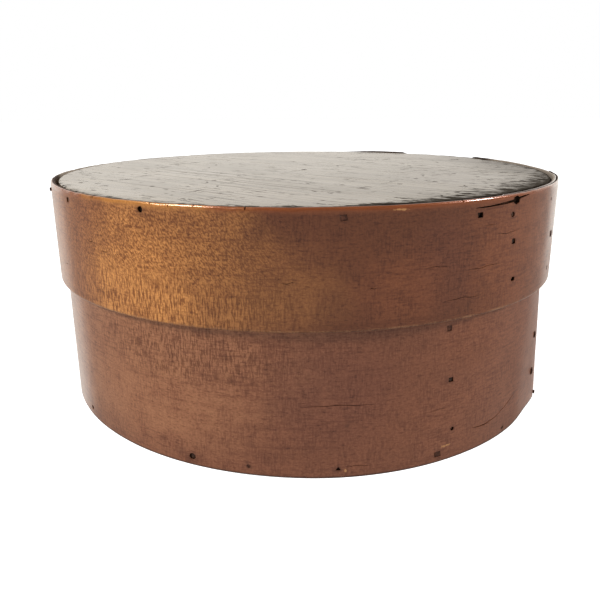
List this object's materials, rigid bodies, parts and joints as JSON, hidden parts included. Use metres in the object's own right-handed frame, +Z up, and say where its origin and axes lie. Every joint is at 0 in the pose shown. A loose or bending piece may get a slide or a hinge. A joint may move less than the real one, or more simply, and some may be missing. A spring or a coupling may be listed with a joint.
{
  "type": "bentwood pantry box",
  "caption": "Round bentwood storage box with lapped and nailed wooden bands, a solid bottom board and a deep lid that lifts straight off.",
  "frame": {"origin": "centre of the base's round, on the surface that the box stands on", "axes": "+Z up along the axis of the box and the way the lid lifts, -Y towards the front, +X towards the side with the laps"},
  "size_m": [0.2417, 0.2421, 0.104],
  "materials": {
    "band_wood": "worn amber varnish, semi-gloss",
    "top_board_wood": "dark weathered board, worn dull",
    "bottom_board_wood": "bare aged pine, matt",
    "nail_iron": "rusted cut iron"
  },
  "bodies": {
    "base": {"base_band": "band_wood", "base_board": "bottom_board_wood", "base_rim_nails": "nail_iron", "base_lap_tip_nails": "nail_iron", "base_lap_end_nails": "nail_iron"},
    "lid": {"lid_band": "band_wood", "lid_board": "top_board_wood", "lid_rim_nails": "nail_iron", "lid_lap_tip_nails": "nail_iron", "lid_lap_middle_nails": "nail_iron", "lid_lap_end_nails": "nail_iron"}
  },
  "joints": [
    {"name": "lid_lift", "type": "slide", "parent": "base", "child": "lid", "axis": [0, 0, 1], "range_m": [0, 0.16]}
  ]
}
